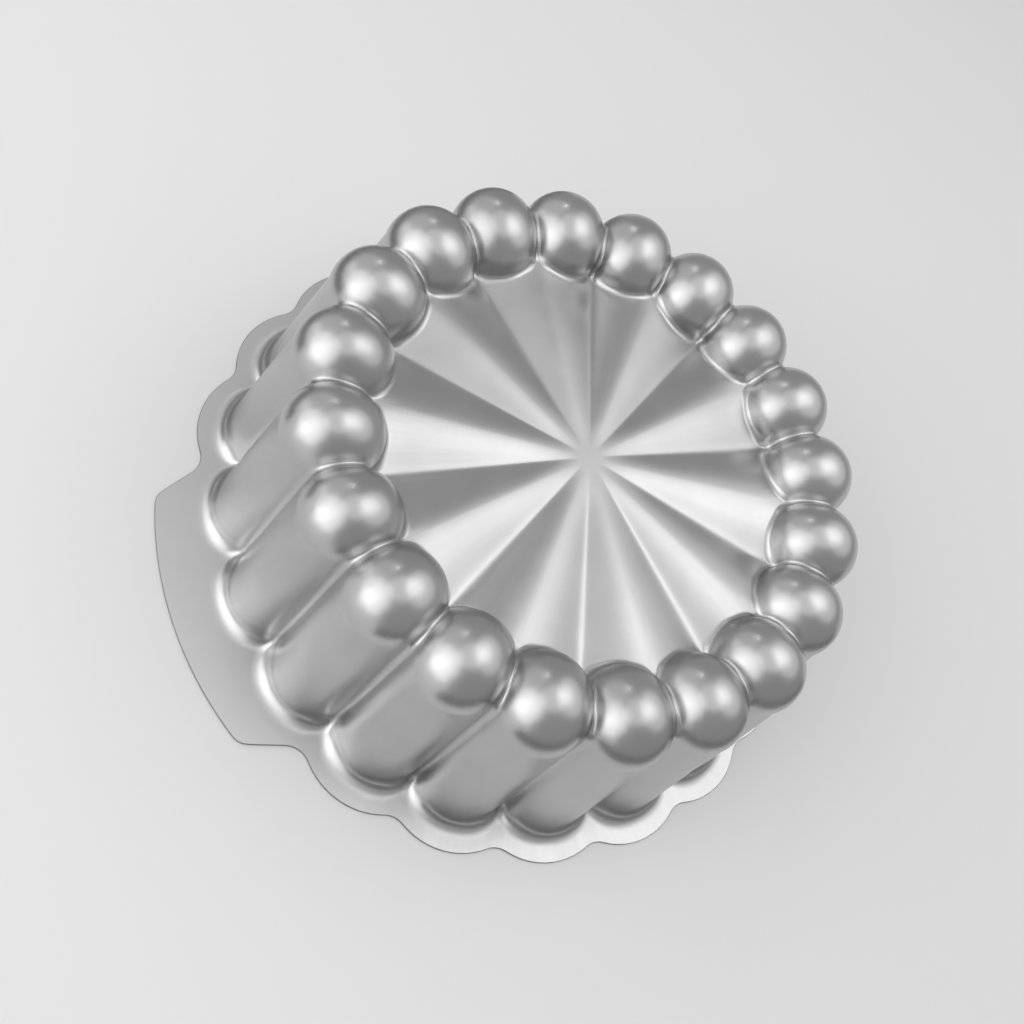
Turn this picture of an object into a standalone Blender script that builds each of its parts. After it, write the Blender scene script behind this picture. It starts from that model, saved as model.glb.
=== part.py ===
# Charlotte mould: a cake pan pressed from one aluminium sheet, standing on its rim with the crown up.
#
# The crown is a pleated round panel. A ring of finger-shaped flutes stands around it: each finger ends
# in a ball-shaped dome at the crown and runs down the wall as a rounded channel to a flat scalloped
# flange. Two grip tabs lie in the plane of the flange, opposite each other along X.
#
# The sheet is lofted from radial sections. Every section has the same run of points, from the flat disc
# at the crown's middle, out over a dome and down the wall to the flange's edge, and its sizes swell and
# shrink with the angle, which makes the fingers, the grooves between them and the pleats.
#
# Frame: metres, +Z up, origin at the centre of the flange's underside, tabs along X.

from math import acos, asin, atan2, cos, hypot, pi, radians, sin, sqrt, tan

import bmesh
import bpy
from mathutils import Vector

MM = 0.001

# Driving dimensions, in millimetres and degrees. The ring of dome centres sets the size of the mould;
# a size named PAST_GROOVE is how far a finger's round would run on beyond the groove at its side.

SHEET = 1.0

FINGERS = 20
FINGERS_PER_PLEAT = 2
FINGERS_PER_TAB = 3

DOME_CIRCLE_RADIUS = 83.6
DOME_CENTRE_HEIGHT = 62.9
DOME_PAST_GROOVE = 1.42
DOME_STRETCH = 2.6
DOME_BULGE = 0.9
DOME_FOOT_SHARE = 0.19
GROOVE_FOOT_SHARE = 0.5
FOOT_SHARE_POWER = 3
GROOVE_TOP_FILLET = 0.4
GROOVE_INNER_FILLET = 1.0
GROOVE_OUTER_FILLET = 3.0

DISC_RADIUS = 8.0
CREASE_BELOW_DOME_CENTRES = 0.7
CREASE_FALL = 1.2
PLEAT_RISE = 4.8

WALL_SPREAD = 7.6
ROOT_PAST_GROOVE = 1.53
ROOT_GROOVE_FILLET = 2.0
ROOT_FILLET = 3.5
GROOVE_FOOT_FILLET = 7.5
SEAM_LAND = 1.0

FLANGE_WIDTH = 9.0
EDGE_CENTRES_INSIDE_ROOT = 1.2
EDGE_NOTCH_FILLET = 8.0

TAB_REACH = 8.4
TAB_SIDE_ANGLE = 20.5
TAB_CORNER_RADIUS = 6.0
TAB_NECK_TO_NOTCH = 0.75

# Fineness of the mesh

STEPS_PER_HALF_FINGER = 4
PANEL_STEPS = 2
PANEL_FILLET_STEPS = 3
DOME_STEPS = 8
ROOT_FILLET_STEPS = 3
TAB_ARC_STEPS = 6
TAB_CORNER_STEPS = 4

ALUMINIUM_COLOUR = (0.60, 0.60, 0.61, 1.0)
ALUMINIUM_ROUGHNESS = 0.32

PITCH = 2 * pi / FINGERS
HALF_PITCH = PITCH / 2
ANGLE_SLACK = 1e-6

# Sizes that follow from the ones above

DOME_RADIUS = DOME_CIRCLE_RADIUS * sin(HALF_PITCH) + DOME_PAST_GROOVE
CREASE_HEIGHT = DOME_CENTRE_HEIGHT - CREASE_BELOW_DOME_CENTRES
ROOT_CIRCLE_RADIUS = DOME_CIRCLE_RADIUS + WALL_SPREAD
ROOT_FINGER_RADIUS = ROOT_CIRCLE_RADIUS * sin(HALF_PITCH) + ROOT_PAST_GROOVE
EDGE_CIRCLE_RADIUS = ROOT_CIRCLE_RADIUS - EDGE_CENTRES_INSIDE_ROOT
EDGE_LOBE_RADIUS = EDGE_CENTRES_INSIDE_ROOT + ROOT_FINGER_RADIUS + FLANGE_WIDTH


# Outlines seen from above

def finger_angle(angle):
    """Angle from the middle of the nearest finger; a finger is centred on each multiple of the pitch."""
    return abs((angle + HALF_PITCH) % PITCH - HALF_PITCH)


def lobed_radius(angle, circle, lobe, fillet):
    """Radius of a ring of round lobes whose centres lie on a circle, with filleted notches between."""
    phi = finger_angle(angle)
    spread = circle * sin(HALF_PITCH)
    fillet_centre = circle * cos(HALF_PITCH) + sqrt((lobe + fillet) ** 2 - spread ** 2)
    share = lobe / (lobe + fillet)
    contact_x = circle + share * (fillet_centre * cos(HALF_PITCH) - circle)
    contact_y = share * fillet_centre * sin(HALF_PITCH)
    if phi <= atan2(contact_y, contact_x):
        return circle * cos(phi) + sqrt(lobe ** 2 - (circle * sin(phi)) ** 2)
    psi = HALF_PITCH - phi
    return fillet_centre * cos(psi) - sqrt(fillet ** 2 - (fillet_centre * sin(psi)) ** 2)


def groove_share(angle):
    """0 along the middle of a finger, 1 along the groove between two fingers."""
    return 0.5 - 0.5 * cos(pi * finger_angle(angle) / HALF_PITCH)


def pleat_share(angle):
    """0 along a crease of the crown panel, 1 along the middle of a pleat."""
    width = FINGERS_PER_PLEAT * PITCH
    from_middle = (angle + HALF_PITCH) % width - width / 2
    return 1 - (2 * from_middle / width) ** 2


def edge_radius(angle):
    return lobed_radius(angle, EDGE_CIRCLE_RADIUS, EDGE_LOBE_RADIUS, EDGE_NOTCH_FILLET)


# The section of the sheet's outer face in the half plane at one angle

def arc(centre, radius, start, end, steps):
    """Points along an arc, without its first one."""
    angles = [start + (end - start) * step / steps for step in range(1, steps + 1)]
    return [(centre[0] + radius * cos(a), centre[1] + radius * sin(a)) for a in angles]


def panel_slope(angle):
    run = DOME_CIRCLE_RADIUS - DOME_RADIUS - DISC_RADIUS
    return (PLEAT_RISE * pleat_share(angle) - CREASE_FALL) / run


def dome_reach(angle, circle, fillet):
    """Radius of the round cut that a ring of balls standing on one circle has at this angle."""
    return lobed_radius(angle, circle, DOME_RADIUS, fillet) - circle * cos(finger_angle(angle))


def dome_cut(angle):
    """Middle of the cut through the dome, how far it reaches inwards and outwards, and how high it rises."""
    shrink = cos(finger_angle(angle))
    inward = dome_reach(angle, DOME_CIRCLE_RADIUS - DOME_STRETCH, GROOVE_INNER_FILLET)
    outward = dome_reach(angle, DOME_CIRCLE_RADIUS, GROOVE_OUTER_FILLET)
    rise = dome_reach(angle, DOME_CIRCLE_RADIUS, GROOVE_TOP_FILLET)
    return DOME_CIRCLE_RADIUS * shrink, inward + DOME_STRETCH * shrink, outward, rise


def panel_fillet(angle, cut):
    """Start of the blend from panel to dome, its corner, and the turn at which it reaches the dome."""
    middle, inward, _, rise = cut
    slope = panel_slope(angle)
    widening = groove_share(angle) ** FOOT_SHARE_POWER
    share = DOME_FOOT_SHARE + (GROOVE_FOOT_SHARE - DOME_FOOT_SHARE) * widening
    panel = CREASE_HEIGHT + slope * (middle - inward - DISC_RADIUS)
    height = share * (DOME_CENTRE_HEIGHT + rise - panel) + panel - DOME_CENTRE_HEIGHT
    turn = pi - asin(height / rise)
    end = (middle + inward * cos(turn), DOME_CENTRE_HEIGHT + height)
    steepness = -rise * cos(turn) / (inward * sin(turn))
    above = end[1] - CREASE_HEIGHT - slope * (end[0] - DISC_RADIUS)
    run = above / (steepness - slope)
    corner = (end[0] - run, end[1] - steepness * run)
    setback = hypot(run, steepness * run) / hypot(1, slope)
    return (corner[0] - setback, corner[1] - slope * setback), corner, turn


def wall_line(angle, cut):
    """Foot of the wall and the turn at which the wall leaves the dome."""
    middle, _, outward, rise = cut
    foot = (lobed_radius(angle, ROOT_CIRCLE_RADIUS, ROOT_FINGER_RADIUS, ROOT_GROOVE_FILLET), SHEET)
    sunk = outward - DOME_BULGE * (1 - groove_share(angle))
    run = foot[0] - middle
    drop = (foot[1] - DOME_CENTRE_HEIGHT) * outward / rise
    return foot, atan2(drop, run) + acos(sunk / hypot(run, drop)) - acos(sunk / outward)


def section(angle):
    """Radius and height of each point, from the disc to the flange's edge, and the two seams' indexes."""
    cut = dome_cut(angle)
    middle, inward, outward, rise = cut
    start, corner, touch = panel_fillet(angle, cut)
    points = [(DISC_RADIUS + (start[0] - DISC_RADIUS) * step / PANEL_STEPS,
               CREASE_HEIGHT + (start[1] - CREASE_HEIGHT) * step / PANEL_STEPS)
              for step in range(PANEL_STEPS + 1)]
    panel_seam = len(points) - 1

    end = (middle + inward * cos(touch), DOME_CENTRE_HEIGHT + rise * sin(touch))
    for step in range(1, PANEL_FILLET_STEPS):
        share = step / PANEL_FILLET_STEPS
        points.append(tuple((1 - share) ** 2 * a + 2 * share * (1 - share) * b + share ** 2 * c
                            for a, b, c in zip(start, corner, end)))

    foot, leave = wall_line(angle, cut)
    for step in range(DOME_STEPS + 1):
        turn = touch + (leave - touch) * step / DOME_STEPS
        reach = inward if cos(turn) < 0 else outward
        points.append((middle + reach * cos(turn), DOME_CENTRE_HEIGHT + rise * sin(turn)))

    normal = atan2(foot[0] - points[-1][0], points[-1][1] - foot[1])
    fillet = ROOT_FILLET + (GROOVE_FOOT_FILLET - ROOT_FILLET) * groove_share(angle)
    setback = fillet / tan((pi / 2 + normal) / 2)
    root_centre = (foot[0] + setback, foot[1] + fillet)
    points += arc(root_centre, fillet, pi + normal, pi + normal, 1)
    points += arc(root_centre, fillet, pi + normal, 3 * pi / 2, ROOT_FILLET_STEPS)
    points.append((root_centre[0] + SEAM_LAND, SHEET))
    flange_seam = len(points) - 1

    points.append((edge_radius(angle), SHEET))
    return points, panel_seam, flange_seam


# The two skins of the sheet, as rings of points

def column_angles():
    """Angles of the sections, closer together beside the grooves."""
    shares = [sin(pi / 2 * step / STEPS_PER_HALF_FINGER) for step in range(STEPS_PER_HALF_FINGER + 1)]
    offsets = [-share for share in reversed(shares[1:])] + shares[:-1]
    return [(finger + offset / 2) * PITCH for finger in range(FINGERS) for offset in offsets]


def outer_rings(angles):
    sections = [section(angle)[0] for angle in angles]
    rings = []
    for ring_points in zip(*sections):
        ring = [Vector((r * cos(a), r * sin(a), z)) for (r, z), a in zip(ring_points, angles)]
        rings.append(ring)
    return rings


def skin_normal(rings, row, column):
    """Normal of the outer skin at one point, from its neighbours on the grid."""
    before = rings[max(row - 1, 0)][column]
    after = rings[min(row + 1, len(rings) - 1)][column]
    left = rings[row][column - 1]
    right = rings[row][(column + 1) % len(rings[row])]
    return (after - before).cross(right - left).normalized()


def inner_rings(rings, seams):
    """The outer skin moved in by the sheet's thickness; at a seam it lies straight below."""
    inner = []
    for row, ring in enumerate(rings):
        moved = []
        for column, point in enumerate(ring):
            normal = skin_normal(rings, row, column)
            if row in seams:
                moved.append(point - Vector((0, 0, SHEET)))
            else:
                moved.append(point - normal * SHEET)
        inner.append(moved)
    return inner


# Solids

def add_object(name, bm, parts):
    bmesh.ops.recalc_face_normals(bm, faces=bm.faces)
    mesh = bpy.data.meshes.new(name)
    bm.to_mesh(mesh)
    bm.free()
    mesh.shade_smooth()
    mesh.set_sharp_from_angle(angle=radians(40))
    mesh.materials.append(aluminium(name))
    solid = bpy.data.objects.new(name, mesh)
    parts.objects.link(solid)
    return solid


def aluminium(name):
    """Satin aluminium, one material for each part."""
    material = bpy.data.materials.new(name + "_aluminium")
    material.use_nodes = True
    shader = material.node_tree.nodes["Principled BSDF"]
    shader.inputs["Base Color"].default_value = ALUMINIUM_COLOUR
    shader.inputs["Roughness"].default_value = ALUMINIUM_ROUGHNESS
    shader.inputs["Metallic"].default_value = 1.0
    return material


def bridge(bm, lower, upper):
    """Faces between two closed rings of vertices."""
    for column in range(len(lower)):
        following = (column + 1) % len(lower)
        bm.faces.new((lower[column], lower[following], upper[following], upper[column]))


def ring_solid(name, outer, inner, parts):
    """A closed ring between the two skins, cut square to the flange at both seams."""
    bm = bmesh.new()
    top = [[bm.verts.new(point * MM) for point in ring] for ring in outer]
    bottom = [[bm.verts.new(point * MM) for point in ring] for ring in inner]
    for skin in (top, bottom):
        for lower, upper in zip(skin, skin[1:]):
            bridge(bm, lower, upper)
    bridge(bm, top[0], bottom[0])
    bridge(bm, top[-1], bottom[-1])
    return add_object(name, bm, parts)


def disc_solid(name, outer, inner, parts):
    """A closed panel between the two skins, with a flat disc at its middle."""
    bm = bmesh.new()
    top = [[bm.verts.new(point * MM) for point in ring] for ring in outer]
    bottom = [[bm.verts.new(point * MM) for point in ring] for ring in inner]
    for skin in (top, bottom):
        bm.faces.new(skin[0])
        for lower, upper in zip(skin, skin[1:]):
            bridge(bm, lower, upper)
    bridge(bm, top[-1], bottom[-1])
    return add_object(name, bm, parts)


# Grip tabs

def tab_side():
    """Half of a tab's outline at +X, from the flange's notch to the middle of the tip."""
    notch_angle = FINGERS_PER_TAB * HALF_PITCH
    side_angle = -radians(TAB_SIDE_ANGLE)
    notch = Vector((cos(notch_angle), sin(notch_angle)))
    neck_radius = TAB_NECK_TO_NOTCH * EDGE_NOTCH_FILLET
    neck_centre = notch * (edge_radius(notch_angle) + neck_radius)
    points = arc(neck_centre, neck_radius, notch_angle + pi, side_angle + 3 * pi / 2, TAB_CORNER_STEPS)

    tip_radius = EDGE_CIRCLE_RADIUS + EDGE_LOBE_RADIUS + TAB_REACH
    along = Vector((cos(side_angle), sin(side_angle)))
    inwards = Vector((along.y, -along.x))
    base = Vector(points[-1]) + inwards * TAB_CORNER_RADIUS
    lean = base.dot(along)
    length = sqrt(lean ** 2 - base.length_squared + (tip_radius - TAB_CORNER_RADIUS) ** 2) - lean
    corner_centre = base + along * length
    start = atan2(-inwards.y, -inwards.x)
    end = atan2(corner_centre.y, corner_centre.x)
    points += arc(corner_centre, TAB_CORNER_RADIUS, start, start, 1)
    points += arc(corner_centre, TAB_CORNER_RADIUS, start, end, TAB_CORNER_STEPS)
    points += arc((0, 0), tip_radius, end, 0, TAB_ARC_STEPS)
    return points


def tab_solid(name, facing, angles, edge, parts):
    """A flat tab that meets the flange's scalloped edge and reaches out past it."""
    half = tab_side()
    outline = half + [(x, -y) for x, y in reversed(half[:-1])]
    points = [Vector((x * cos(facing) - y * sin(facing), x * sin(facing) + y * cos(facing), SHEET))
              for x, y in outline]
    spans = [((angle - facing + pi) % (2 * pi) - pi, point) for angle, point in zip(angles, edge)]
    reach = FINGERS_PER_TAB * HALF_PITCH + ANGLE_SLACK
    points += [point for span, point in sorted(spans, key=lambda pair: pair[0]) if abs(span) < reach]
    bm = bmesh.new()
    face = bm.faces.new([bm.verts.new(point * MM) for point in points])
    extruded = bmesh.ops.extrude_face_region(bm, geom=[face])
    lower = [item for item in extruded["geom"] if isinstance(item, bmesh.types.BMVert)]
    bmesh.ops.translate(bm, verts=lower, vec=(0, 0, -SHEET * MM))
    return add_object(name, bm, parts)


def main():
    for old in list(bpy.data.objects):
        bpy.data.objects.remove(old)
    parts = bpy.data.collections.new("charlotte_mould")
    bpy.context.scene.collection.children.link(parts)

    angles = column_angles()
    panel_seam, flange_seam = section(0.0)[1:]
    outer = outer_rings(angles)
    inner = inner_rings(outer, (panel_seam, flange_seam, len(outer) - 1))

    disc_solid("crown_panel", outer[:panel_seam + 1], inner[:panel_seam + 1], parts)
    wall = slice(panel_seam, flange_seam + 1)
    ring_solid("fluted_wall", outer[wall], inner[wall], parts)
    ring_solid("rim_flange", outer[flange_seam:], inner[flange_seam:], parts)
    tab_solid("grip_tab_right", 0.0, angles, outer[-1], parts)
    tab_solid("grip_tab_left", pi, angles, outer[-1], parts)


main()
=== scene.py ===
from math import acos, asin, atan2, cos, hypot, pi, radians, sin, sqrt, tan

import bmesh
import bpy
from mathutils import Matrix, Vector


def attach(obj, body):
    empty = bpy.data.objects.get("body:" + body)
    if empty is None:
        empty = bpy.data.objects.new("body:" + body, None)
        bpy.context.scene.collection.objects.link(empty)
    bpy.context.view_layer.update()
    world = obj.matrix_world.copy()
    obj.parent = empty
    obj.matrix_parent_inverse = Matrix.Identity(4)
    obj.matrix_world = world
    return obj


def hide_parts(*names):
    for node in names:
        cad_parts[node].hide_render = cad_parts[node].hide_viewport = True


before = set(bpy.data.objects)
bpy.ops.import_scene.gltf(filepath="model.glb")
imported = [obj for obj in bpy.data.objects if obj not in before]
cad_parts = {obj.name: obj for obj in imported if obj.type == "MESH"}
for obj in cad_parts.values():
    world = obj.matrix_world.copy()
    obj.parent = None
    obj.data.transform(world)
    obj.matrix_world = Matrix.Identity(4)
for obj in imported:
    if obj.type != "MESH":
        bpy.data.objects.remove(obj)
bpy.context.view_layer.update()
mm = 0.001
scene = bpy.context.scene
print("frame loaded:", ", ".join(sorted(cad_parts)))


# The real mould is a single pressing, so one sheet stands for all five nodes. Millimetres and degrees.
# A size that ends in PastGroove is how far a finger's round would run on beyond the groove at its side.
mould = {
    "sheet": 1.0,
    "fingers": 20, "fingersPerPleat": 2, "fingersPerTab": 3,

    # the domes: their centres' ring, how much longer they are towards the crown, how far they stand out of the wall
    "domeCircle": 83.6, "domeHeight": 62.9, "domePastGroove": 1.42,
    "domeStretch": 1.9, "domeBulge": 0.9,

    # how high up a dome, and up a groove, the blend from the crown reaches, as a share of its height;
    # a higher footPower keeps the change between the two closer to the groove
    "domeFoot": 0.14, "grooveFoot": 0.32, "footPower": 3,

    # the grooves between two domes: on top, towards the crown and down the wall
    "topFillet": 0.9, "innerFillet": 1.2, "outerFillet": 2.0,

    # the crown: a flat disc, creases that run outwards from it, and pleats that are straighter near a crease
    "disc": 8.0, "creaseBelowDomes": 0.7, "creaseFall": 2.6,
    "pleatRise": 4.6, "pleatCurve": 1.7, "creaseRound": 2.0,

    # the wall's foot
    "wallSpread": 7.6, "rootPastGroove": 1.53, "rootGrooveFillet": 1.5,
    "rootFillet": 4.8, "grooveFootFillet": 7.0, "land": 1.0,

    # the flange, its tabs and its sheared rim, whose corners stay crisp above the rim's angle
    "flange": 9.0, "edgeInsideRoot": 1.2, "notchFillet": 8.0,
    "tabReach": 8.4, "tabSide": 20.5, "tabCorner": 6.0,
    "rimRound": 0.2, "rimFrom": 108.0, "rimAngle": 15.0,

    # fineness of the mesh; the columns crowd towards the grooves
    "columnsPerFinger": 36, "evenShare": 0.35,
    "rows": {"disc": 2, "panel": 8, "foot": 8, "dome": 21, "wall": 3, "root": 8, "flange": 5},
}


def fingerAngle(angle):  # from the middle of the nearest finger
    pitch = 2 * pi / mould["fingers"]
    return abs((angle + pitch / 2) % pitch - pitch / 2)


def lobedRadius(angle, circle, lobe, fillet):  # a ring of round lobes with filleted notches
    half = pi / mould["fingers"]
    phi = fingerAngle(angle)
    filletCentre = circle * cos(half) + sqrt((lobe + fillet) ** 2 - (circle * sin(half)) ** 2)
    share = lobe / (lobe + fillet)
    contact = atan2(share * filletCentre * sin(half), circle + share * (filletCentre * cos(half) - circle))
    if phi <= contact:
        return circle * cos(phi) + sqrt(lobe ** 2 - (circle * sin(phi)) ** 2)
    psi = half - phi
    return filletCentre * cos(psi) - sqrt(fillet ** 2 - (filletCentre * sin(psi)) ** 2)


def grooveShare(angle):  # 0 along a finger, 1 along a groove
    return 0.5 - 0.5 * cos(fingerAngle(angle) * mould["fingers"])


def pleatHeight(angle):  # rise over the crease line; the crease itself is a narrow rounded valley
    half = mould["fingersPerPleat"] * pi / mould["fingers"]
    fromCrease = half - abs((angle + pi / mould["fingers"]) % (2 * half) - half)
    blunt = radians(mould["creaseRound"])
    share = (hypot(fromCrease, blunt) - blunt) / (hypot(half, blunt) - blunt)
    return mould["pleatRise"] * (1 - (1 - share) ** mould["pleatCurve"])


def quadratic(start, corner, end, steps):  # points of a quadratic curve, without its ends
    shares = [step / steps for step in range(1, steps)]
    return [tuple((1 - s) ** 2 * a + 2 * s * (1 - s) * b + s * s * c for a, b, c in zip(start, corner, end))
            for s in shares]


def edgeRadius(angle):  # the flange's cut edge, tabs included
    half = pi / mould["fingers"]
    root = mould["domeCircle"] + mould["wallSpread"]
    rootFinger = root * sin(half) + mould["rootPastGroove"]
    circle = root - mould["edgeInsideRoot"]
    lobe = mould["edgeInsideRoot"] + rootFinger + mould["flange"]
    notchAngle = mould["fingersPerTab"] * half
    fromTab = min(abs((angle + pi) % (2 * pi) - pi), abs(angle % (2 * pi) - pi))
    if fromTab >= notchAngle:
        return lobedRadius(angle, circle, lobe, mould["notchFillet"])
    notch = Vector((cos(notchAngle), sin(notchAngle)))
    neckCentre = notch * (lobedRadius(notchAngle, circle, lobe, mould["notchFillet"]) + mould["notchFillet"])
    along = Vector((cos(radians(mould["tabSide"])), -sin(radians(mould["tabSide"]))))
    inwards = Vector((along.y, -along.x))
    neckEnd = neckCentre + inwards * mould["notchFillet"]
    tip = circle + lobe + mould["tabReach"]
    base = neckEnd + inwards * mould["tabCorner"]
    lean = base.dot(along)
    cornerCentre = base + along * (sqrt(lean ** 2 - base.length_squared + (tip - mould["tabCorner"]) ** 2) - lean)
    sideEnd = cornerCentre - inwards * mould["tabCorner"]
    ray = Vector((cos(fromTab), sin(fromTab)))
    if fromTab <= atan2(cornerCentre.y, cornerCentre.x):
        return tip
    if fromTab <= atan2(sideEnd.y, sideEnd.x):
        return ray.dot(cornerCentre) + sqrt(mould["tabCorner"] ** 2 - ray.cross(cornerCentre) ** 2)
    if fromTab <= atan2(neckEnd.y, neckEnd.x):
        return inwards.dot(neckEnd) / inwards.dot(ray)
    return ray.dot(neckCentre) - sqrt(mould["notchFillet"] ** 2 - ray.cross(neckCentre) ** 2)


def section(angle):  # radius and height of the outer face, from the crown's middle to the cut edge
    rows, half = mould["rows"], pi / mould["fingers"]
    phi, groove = fingerAngle(angle), grooveShare(angle)
    circle, height = mould["domeCircle"], mould["domeHeight"]
    dome = circle * sin(half) + mould["domePastGroove"]
    middle = circle * cos(phi)
    inner = circle - mould["domeStretch"]
    inward = lobedRadius(angle, inner, dome, mould["innerFillet"]) - inner * cos(phi)
    inward += mould["domeStretch"] * cos(phi)
    outward = lobedRadius(angle, circle, dome, mould["outerFillet"]) - middle
    rise = lobedRadius(angle, circle, dome, mould["topFillet"]) - middle

    def panelHeight(radius):
        share = max(0.0, radius - mould["disc"]) / (circle - dome - mould["disc"])
        return height - mould["creaseBelowDomes"] + share * (pleatHeight(angle) - mould["creaseFall"])

    # where the blend from the panel reaches the dome, and the corner that it rounds
    foot = mould["domeFoot"] + (mould["grooveFoot"] - mould["domeFoot"]) * groove ** mould["footPower"]
    panel = panelHeight(middle - inward)
    slope = panel - panelHeight(middle - inward - 1)
    climb = foot * (height + rise - panel) + panel - height
    touch = pi - asin(climb / rise)
    end = (middle + inward * cos(touch), height + climb)
    steep = -rise * cos(touch) / (inward * sin(touch))
    run = (end[1] - panel - slope * (end[0] - middle + inward)) / (steep - slope)
    corner = (end[0] - run, end[1] - steep * run)
    back = hypot(run, steep * run) / hypot(1, slope)
    start = corner[0] - back

    discRadii = [mould["disc"] * step / rows["disc"] for step in range(rows["disc"] + 1)]
    width = start - mould["disc"]
    panelRadii = [mould["disc"] + width * (step + 1) / rows["panel"] for step in range(rows["panel"])]
    points = [(radius, panelHeight(radius)) for radius in discRadii + panelRadii]
    points += quadratic(points[-1], corner, end, rows["foot"])

    # the dome, down to where the wall's line leaves it
    root = circle + mould["wallSpread"]
    rootFinger = root * sin(half) + mould["rootPastGroove"]
    wallFoot = (lobedRadius(angle, root, rootFinger, mould["rootGrooveFillet"]), mould["sheet"])
    sunk = outward - mould["domeBulge"] * (1 - groove)
    across, drop = wallFoot[0] - middle, (wallFoot[1] - height) * outward / rise
    leave = atan2(drop, across) + acos(sunk / hypot(across, drop)) - acos(sunk / outward)
    for step in range(rows["dome"] + 1):
        turn = touch + (leave - touch) * step / rows["dome"]
        reach = inward if cos(turn) < 0 else outward
        points.append((middle + reach * cos(turn), height + rise * sin(turn)))

    # the wall, its fillet and the flange
    top = points[-1]
    lean = atan2(wallFoot[0] - top[0], top[1] - wallFoot[1])
    fillet = mould["rootFillet"] + (mould["grooveFootFillet"] - mould["rootFillet"]) * groove
    centre = (wallFoot[0] + fillet / tan((pi / 2 + lean) / 2), wallFoot[1] + fillet)
    bottom = (centre[0] - fillet * cos(lean), centre[1] - fillet * sin(lean))
    points += [tuple(a + (b - a) * step / rows["wall"] for a, b in zip(top, bottom))
               for step in range(1, rows["wall"] + 1)]
    for step in range(1, rows["root"] + 1):
        turn = pi + lean + (pi / 2 - lean) * step / rows["root"]
        points.append((centre[0] + fillet * cos(turn), centre[1] + fillet * sin(turn)))
    land, edge = centre[0] + mould["land"], edgeRadius(angle)
    for step in range(rows["flange"] + 1):
        points.append((land + (edge - land) * step / rows["flange"], mould["sheet"]))
    return points


def columnAngle(column):  # the columns stand closer together near a groove
    finger, place = divmod(column / mould["columnsPerFinger"] + 0.5, 1)
    place = 2 * place - 1
    even = mould["evenShare"]
    return (finger + (even * place + (1 - even) * sin(pi * place / 2)) / 2) * 2 * pi / mould["fingers"]


def isCrisp(edge):  # a corner of the sheared rim
    place = edge.verts[0].co / mm
    return (edge.is_manifold and place.z < mould["sheet"] * 1.1 and place.xy.length > mould["rimFrom"]
            and edge.calc_face_angle() > radians(mould["rimAngle"]))


def pressSheet():
    columns = mould["fingers"] * mould["columnsPerFinger"]
    sections = [section(columnAngle(column)) for column in range(columns)]
    lastRow = len(sections[0]) - 1

    # a flat round blank, 1 across its radius: one radial line, cut into rows and spun
    bm = bmesh.new()
    line = bm.edges.new((bm.verts.new((0, 0, 0)), bm.verts.new((1, 0, 0))))
    bmesh.ops.subdivide_edges(bm, edges=[line], cuts=lastRow - 1)
    bmesh.ops.spin(bm, geom=bm.verts[:] + bm.edges[:], axis=(0, 0, 1), cent=(0, 0, 0),
                   angle=2 * pi, steps=columns, use_merge=True)
    bmesh.ops.remove_doubles(bm, verts=bm.verts[:], dist=1e-5)

    # each of its points is pressed to its place
    rowOf = bm.verts.layers.int.new("row")
    for vert in bm.verts:
        row = round(vert.co.length * lastRow)
        column = round(atan2(vert.co.y, vert.co.x) / (2 * pi) * columns) % columns
        radius, height = sections[column][row]
        angle = columnAngle(column)
        vert.co = Vector((radius * cos(angle), radius * sin(angle), height)) * mm
        vert[rowOf] = row
    bmesh.ops.recalc_face_normals(bm, faces=bm.faces[:])
    if sum(face.normal.z for face in bm.faces) < 0:
        bmesh.ops.reverse_faces(bm, faces=bm.faces[:])

    # the sheet's thickness, and the sheared edge a little rounded
    bmesh.ops.solidify(bm, geom=bm.faces[:], thickness=mould["sheet"] * mm)
    rim = [edge for edge in bm.edges
           if all(vert[rowOf] == lastRow for vert in edge.verts)
           and abs(edge.verts[0].co.z - edge.verts[1].co.z) < mould["sheet"] * mm / 2]
    bmesh.ops.bevel(bm, geom=rim, offset=mould["rimRound"] * mm, offset_type="OFFSET", segments=2,
                    profile=0.5, affect="EDGES", material=-1)
    for face in bm.faces:
        face.material_index = int(all(vert[rowOf] == lastRow for vert in face.verts))  # the cut edge
    for edge in bm.edges:
        edge.smooth = not isCrisp(edge)

    mesh = bpy.data.meshes.new("pressedSheet")
    bm.to_mesh(mesh)
    bm.free()
    for face in mesh.polygons:
        face.use_smooth = True
    sheet = bpy.data.objects.new("pressedSheet", mesh)
    scene.collection.objects.link(sheet)
    return sheet


sheet = pressSheet()
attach(sheet, "root")
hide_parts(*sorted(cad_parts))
print("sheet pressed:", len(sheet.data.vertices), "vertices,",
      sum(len(face.vertices) - 2 for face in sheet.data.polygons), "triangles")


def fromHex(code):  # an sRGB hex colour as linear values
    channels = [int(code[place:place + 2], 16) / 255 for place in (1, 3, 5)]
    return tuple(c / 12.92 if c <= 0.04045 else ((c + 0.055) / 1.055) ** 2.4 for c in channels) + (1.0,)


def addNode(tree, kind, links=None, **settings):  # one node, its settings and what comes into it
    node = tree.nodes.new(kind)
    for name, value in settings.items():
        setattr(node, name, value)
    for name, value in (links or {}).items():
        socket = node.inputs[name]
        if isinstance(value, bpy.types.NodeSocket):
            tree.links.new(value, socket)
        else:
            socket.default_value = value
    return node


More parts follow.
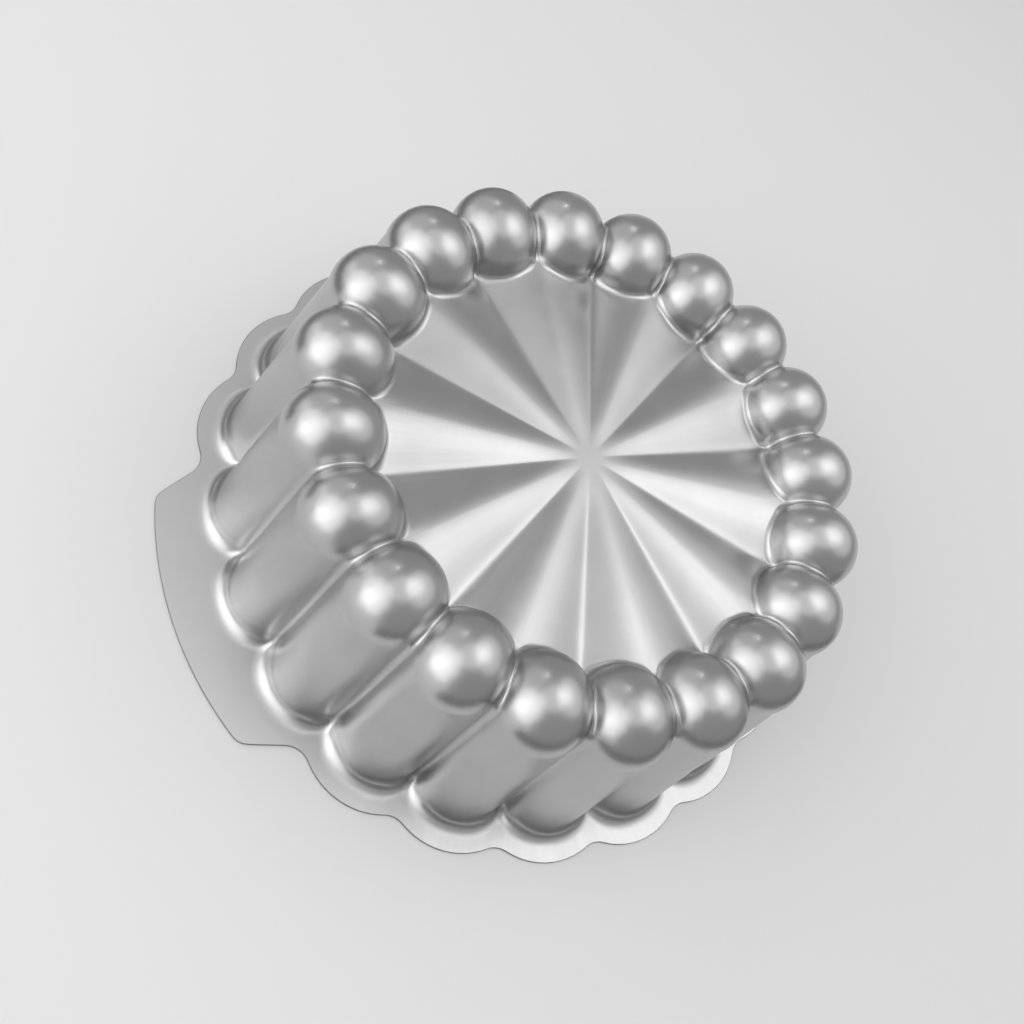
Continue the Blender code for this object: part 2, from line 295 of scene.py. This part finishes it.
# Satin aluminium sheet, pressed and then washed. It gives the eye soft round highlights, fine marks that run
# outwards as the sheet was drawn over the die, and a duller flange, where the press held the sheet flat; the flange
# is also painted paler, which is painted light.
aluminium = {
    # with its marks and grain the roughness stays over 0.275: below that the noise filter leaves specks
    "colour": "#c1c1c1", "roughness": 0.298,
    # the flange's paler colour is painted light that brightens it; its higher roughness is its own
    "flangePaintedLightColour": "#cdcdcd", "flangeRoughness": 0.36, "flangeTop": 1.5, "flangeFade": 1.0,

    # washed a little unevenly; patterns are in millimetres
    "stain": "#b9b9b9", "stainSize": 26.0, "stainFrom": 0.35, "stainTo": 0.7,

    # marks that run outwards, with their true width at markRadius
    "markWidth": 1.1, "markLength": 30.0, "markRadius": 100.0, "markRoughness": 0.014,

    # the real grain is finer than a pixel, so it is drawn coarser
    "grain": 1.6, "grainRoughness": 0.006,
    "noiseLow": 0.3, "noiseHigh": 0.7,  # most of a noise lies between these

    # the pressed sheet is never quite even
    "wave": 13.0, "waveDepth": 0.08,
}
# The sheared edge of the same sheet: torn a little as it was cut, so duller than its faces; its darker colour is
# painted shade along the rim.
cutEdge = {"colour": "#909090", "roughness": 0.48, "shearWidth": 0.5, "shearStretch": 0.15, "shearDepth": 0.02}


def startMaterial(name, colour, roughness):  # a plain metal, and its coordinates in millimetres
    material = bpy.data.materials.new(name)
    material.use_nodes = True
    tree = material.node_tree
    shader = tree.nodes["Principled BSDF"]
    shader.inputs["Base Color"].default_value = fromHex(colour)
    shader.inputs["Metallic"].default_value = 1.0
    shader.inputs["Roughness"].default_value = roughness
    place = addNode(tree, "ShaderNodeTexCoord")
    place = addNode(tree, "ShaderNodeMapping", {"Vector": place.outputs["Object"], "Scale": (1 / mm,) * 3})
    return material, tree, shader, place.outputs["Vector"]


def makeSatinAluminium():
    a = aluminium
    material, tree, shader, place = startMaterial("satinPressedAluminium", a["colour"], a["roughness"])

    # marks that run outwards: noise on the direction from the middle, stretched along the way outwards
    flat = addNode(tree, "ShaderNodeVectorMath", {0: place, 1: (1, 1, 0)}, operation="MULTIPLY")
    outwards = addNode(tree, "ShaderNodeVectorMath", {0: flat.outputs[0]}, operation="NORMALIZE")
    spread = addNode(tree, "ShaderNodeVectorMath",
                     {0: outwards.outputs[0], "Scale": a["markRadius"] / a["markWidth"]}, operation="SCALE")
    radius = addNode(tree, "ShaderNodeVectorMath", {0: flat.outputs[0]}, operation="LENGTH")
    height = addNode(tree, "ShaderNodeSeparateXYZ", {0: place}).outputs["Z"]
    way = addNode(tree, "ShaderNodeMath", {0: radius.outputs["Value"], 1: height}, operation="SUBTRACT")
    way = addNode(tree, "ShaderNodeMath", {0: way.outputs[0], 1: a["markLength"]}, operation="DIVIDE")
    along = addNode(tree, "ShaderNodeCombineXYZ", {"Z": way.outputs[0]})
    markPlace = addNode(tree, "ShaderNodeVectorMath", {0: spread.outputs[0], 1: along.outputs[0]}, operation="ADD")
    marks = addNode(tree, "ShaderNodeTexNoise", {"Vector": markPlace.outputs[0], "Scale": 1.0, "Detail": 0.0})
    grain = addNode(tree, "ShaderNodeTexNoise", {"Vector": place, "Scale": 1 / a["grain"], "Detail": 0.0})
    wave = addNode(tree, "ShaderNodeTexNoise", {"Vector": place, "Scale": 1 / a["wave"], "Detail": 1.0})

    # washed a little unevenly
    stain = addNode(tree, "ShaderNodeTexNoise", {"Vector": place, "Scale": 1 / a["stainSize"], "Detail": 4.0})
    stained = addNode(tree, "ShaderNodeMapRange", {"Value": stain.outputs["Fac"], "From Min": a["stainFrom"],
                                                   "From Max": a["stainTo"]})
    colour = addNode(tree, "ShaderNodeMix", {"Factor": stained.outputs[0], 6: fromHex(a["colour"]),
                                             7: fromHex(a["stain"])}, data_type="RGBA")

    # the flange is duller than the rest, and painted paler: painted light, so that it renders as bright as the lit
    # flange
    above = addNode(tree, "ShaderNodeMapRange", {"Value": height, "From Min": a["flangeTop"],
                                                 "From Max": a["flangeTop"] + a["flangeFade"]},
                    interpolation_type="SMOOTHSTEP").outputs[0]
    # painted light: the flange's base colour is paler than the sheet's, to brighten it
    colour = addNode(tree, "ShaderNodeMix", {"Factor": above, 6: fromHex(a["flangePaintedLightColour"]), 7: colour.outputs[2]},
                     data_type="RGBA")
    tree.links.new(colour.outputs[2], shader.inputs["Base Color"])
    rough = addNode(tree, "ShaderNodeMapRange", {"Value": above, "To Min": a["flangeRoughness"],
                                                 "To Max": a["roughness"]})
    for pattern, most in ((marks, a["markRoughness"]), (grain, a["grainRoughness"])):
        change = addNode(tree, "ShaderNodeMapRange",
                         {"Value": pattern.outputs["Fac"], "From Min": a["noiseLow"],
                          "From Max": a["noiseHigh"], "To Min": -most, "To Max": most})
        rough = addNode(tree, "ShaderNodeMath", {0: rough.outputs[0], 1: change.outputs[0]}, operation="ADD")
    tree.links.new(rough.outputs[0], shader.inputs["Roughness"])

    # relief: only the wave, since the marks are too shallow to show as one
    bump = addNode(tree, "ShaderNodeBump", {"Height": wave.outputs["Fac"], "Distance": a["waveDepth"] * mm})
    tree.links.new(bump.outputs[0], shader.inputs["Normal"])
    return material


def makeCutEdge():
    # painted shade: the edge's colour is darker than the sheet's; its roughness and shear bump are its own
    material, tree, shader, place = startMaterial("shearedAluminiumEdge", cutEdge["colour"], cutEdge["roughness"])
    upright = addNode(tree, "ShaderNodeVectorMath", {0: place, 1: (1, 1, cutEdge["shearStretch"])},
                      operation="MULTIPLY")
    shear = addNode(tree, "ShaderNodeTexNoise", {"Vector": upright.outputs[0], "Scale": 1 / cutEdge["shearWidth"],
                                                 "Detail": 2.0})
    bump = addNode(tree, "ShaderNodeBump", {"Height": shear.outputs["Fac"], "Distance": cutEdge["shearDepth"] * mm})
    tree.links.new(bump.outputs[0], shader.inputs["Normal"])
    return material


sheet.data.materials.append(makeSatinAluminium())
sheet.data.materials.append(makeCutEdge())
print("metal made")


def fromMould(azimuth, elevation, distance):  # a point around the mould, in metres
    a, e = radians(azimuth), radians(elevation)
    return Vector((cos(e) * cos(a), cos(e) * sin(a), sin(e))) * distance


# A plain pale studio, in metres and degrees.
studio = {
    "floorColour": "#e7e7e7", "floorSize": 3.0, "floorSides": 64, "world": 0.40,
    "paperRoughness": 0.9, "paperSheen": 0.2,

    # two cards and the azimuths that each stands across
    "cardColour": "#a0a0a0", "cardHeight": 0.06, "cardFromMiddle": 0.205, "cardSteps": 24,
    "cards": {"nearCard": (214, 318), "farCard": (60, 148)},

    # azimuth, elevation and distance of each softbox; then the discs that lie one behind another in it, so that
    # it fades towards its edge, each with its breadth and how bright it is
    "discGap": 0.01,
    "softboxes": {"leftBox": (172, 36, 0.90, ((0.42, 0.30), (0.80, 0.50), (1.28, 0.83))),
                  "lowBox": (168, 16, 0.92, ((0.50, 0.60),)),
                  "lowLeftBox": (202, 10, 0.93, ((0.56, 0.42),)),
                  "lowRightBox": (130, 9, 0.93, ((0.64, 0.48),)),
                  "backBox": (350, 60, 0.90, ((0.30, 0.36), (0.60, 0.58))),
                  "backWide": (344, 50, 0.95, ((1.20, 0.50),)),
                  "topBox": (0, 90, 1.00, ((1.00, 0.54),)),
                  "farBox": (108, 32, 0.95, ((0.95, 0.28),)),
                  "smallBox": (77, 45, 0.90, ((0.08, 6.00),))},  # the small spark on each dome
}


def addStagePiece(name, bm, colour):  # plain paper
    bmesh.ops.recalc_face_normals(bm, faces=bm.faces[:])
    mesh = bpy.data.meshes.new(name)
    bm.to_mesh(mesh)
    bm.free()
    piece = bpy.data.objects.new(name, mesh)
    scene.collection.objects.link(piece)
    paper = bpy.data.materials.new(name + "Paper")
    paper.use_nodes = True
    shader = paper.node_tree.nodes["Principled BSDF"]
    shader.inputs["Base Color"].default_value = fromHex(colour)
    shader.inputs["Roughness"].default_value = studio["paperRoughness"]
    shader.inputs["Specular IOR Level"].default_value = studio["paperSheen"]
    mesh.materials.append(paper)
    return piece


bm = bmesh.new()
bmesh.ops.create_circle(bm, cap_ends=True, segments=studio["floorSides"], radius=studio["floorSize"])
addStagePiece("floor", bm, studio["floorColour"])

# Low grey cards just outside the picture: they keep the domes' lower sides dark, as in the photograph. Only the
# metal sees them, so that they don't stand in the way of a view from the side.
for name, (first, last) in studio["cards"].items():
    bm = bmesh.new()
    foot = fromMould(first, 0, studio["cardFromMiddle"])
    edge = bm.edges.new((bm.verts.new(foot), bm.verts.new(foot + Vector((0, 0, studio["cardHeight"])))))
    bmesh.ops.spin(bm, geom=bm.verts[:] + bm.edges[:], axis=(0, 0, 1), cent=(0, 0, 0),
                   angle=radians(last - first), steps=studio["cardSteps"])
    card = addStagePiece(name, bm, studio["cardColour"])
    card.visible_camera = card.visible_shadow = card.visible_diffuse = False

# round softboxes that face the mould
for name, (azimuth, elevation, distance, discs) in studio["softboxes"].items():
    for order, (breadth, strength) in enumerate(discs):
        lamp = bpy.data.lights.new(f"{name}{order + 1}", "AREA")
        lamp.shape, lamp.size = "DISK", breadth
        lamp.energy = strength * (pi * breadth / 2) ** 2  # the watts that make it so bright
        disc = bpy.data.objects.new(lamp.name, lamp)
        place = fromMould(azimuth, elevation, distance + order * studio["discGap"])
        disc.matrix_world = Matrix.Translation(place) @ place.to_track_quat("Z", "Y").to_matrix().to_4x4()
        scene.collection.objects.link(disc)

world = bpy.data.worlds.new("studio")
scene.world = world
world.use_nodes = True
backdrop = world.node_tree.nodes["Background"]
backdrop.inputs["Color"].default_value = (1, 1, 1, 1)
backdrop.inputs["Strength"].default_value = studio["world"]

# the photograph's viewpoint
view = {"place": (-0.19644, -0.08878, 0.34554), "forward": (0.48476, 0.23240, -0.84321),
        "up": (0.22479, 0.89857, 0.37689), "lens": 39.64, "clipStart": 0.01}
camera = bpy.data.objects.new("camera", bpy.data.cameras.new("camera"))
forward, up = Vector(view["forward"]).normalized(), Vector(view["up"])
right = forward.cross(up).normalized()
up = right.cross(forward)
camera.matrix_world = Matrix.Translation(view["place"]) @ Matrix((right, up, -forward)).transposed().to_4x4()
camera.data.lens = view["lens"]
camera.data.clip_start = view["clipStart"]
scene.collection.objects.link(camera)
scene.camera = camera
scene.view_settings.view_transform = "Standard"
print("studio set")
